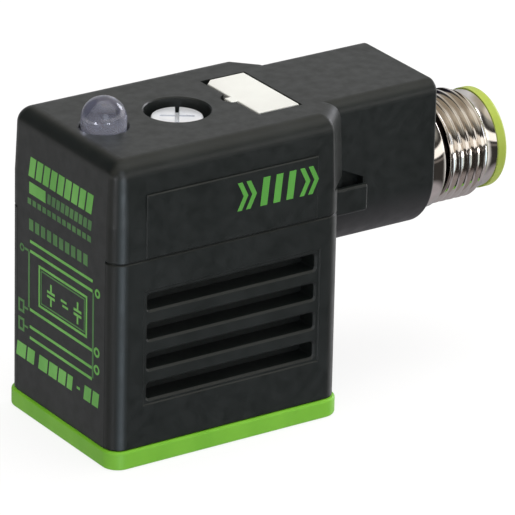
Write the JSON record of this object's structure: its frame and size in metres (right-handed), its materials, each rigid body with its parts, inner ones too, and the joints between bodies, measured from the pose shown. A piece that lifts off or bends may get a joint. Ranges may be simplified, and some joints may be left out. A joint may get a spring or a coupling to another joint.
{
  "type": "solenoid valve connector",
  "caption": "Black square plug for a solenoid valve coil, with green gasket, LED, marker plate, fixing screw and sideways M12 outlet.",
  "frame": {"origin": "centre of the gasket's underside, on the fixing screw's axis", "axes": "+Z away from the valve coil, +X towards the M12 connector, +Y across the plug"},
  "size_m": [0.0529, 0.0212, 0.0369],
  "materials": {
    "housing_plastic": "fine grained black polyamide",
    "gasket_green": "smooth lime green elastomer",
    "insulator_plastic": "dark glass-filled polyamide",
    "contact_metal": "tin plated brass sheet",
    "screw_steel": "bright zinc plate",
    "seal_rubber": "black nitrile",
    "retainer_nylon": "natural nylon",
    "led_epoxy": "clear smoky epoxy",
    "led_metal": "tinned lead frame",
    "marker_white": "smooth white",
    "board_laminate": "green solder mask on glass epoxy",
    "diode_black": "moulded epoxy",
    "resistor_beige": "lacquered",
    "potting_resin": "cast resin",
    "nickel_plate": "bright nickel plate",
    "ring_lime": "satin lime green",
    "insert_plastic": "black pin carrier",
    "pin_gold": "gold plate",
    "wire_brown": "brown insulation",
    "wire_blue": "blue insulation",
    "wire_green_yellow": "green and yellow insulation"
  },
  "bodies": {
    "housing": {"lower_housing": "housing_plastic", "upper_housing": "housing_plastic", "gasket": "gasket_green", "contact_block": "insulator_plastic", "screw_guide_tube": "insulator_plastic", "potting_compound": "potting_resin", "contact_line": "contact_metal", "contact_neutral": "contact_metal", "contact_earth": "contact_metal", "screw_o_ring": "seal_rubber", "screw_retaining_ring": "retainer_nylon", "led_lens": "led_epoxy", "led_leads": "led_metal", "circuit_board": "board_laminate", "suppressor_diode": "diode_black", "series_resistor": "resistor_beige", "bridge_rectifier": "diode_black", "m12_sleeve": "nickel_plate", "m12_front_ring": "ring_lime", "m12_o_ring": "seal_rubber", "m12_insert": "insert_plastic", "m12_pins": "pin_gold", "wire_positive": "wire_brown", "wire_negative": "wire_blue", "wire_earth": "wire_green_yellow"},
    "screw_carrier": {"screw_washer": "screw_steel"},
    "screw": {"central_screw": "screw_steel"},
    "marker": {"marker_plate": "marker_white"}
  },
  "joints": [
    {"name": "screw_travel", "type": "slide", "parent": "housing", "child": "screw_carrier", "axis": [0, 0, 1], "range_m": [-0.0064, 0]},
    {"name": "screw_turn", "type": "hinge", "parent": "screw_carrier", "child": "screw", "pos_m": [0, 0, 0], "axis": [0, 0, 1], "continuous": true},
    {"name": "marker_lift", "type": "slide", "parent": "housing", "child": "marker", "axis": [0, 0, 1], "range_m": [0, 0.003]}
  ]
}
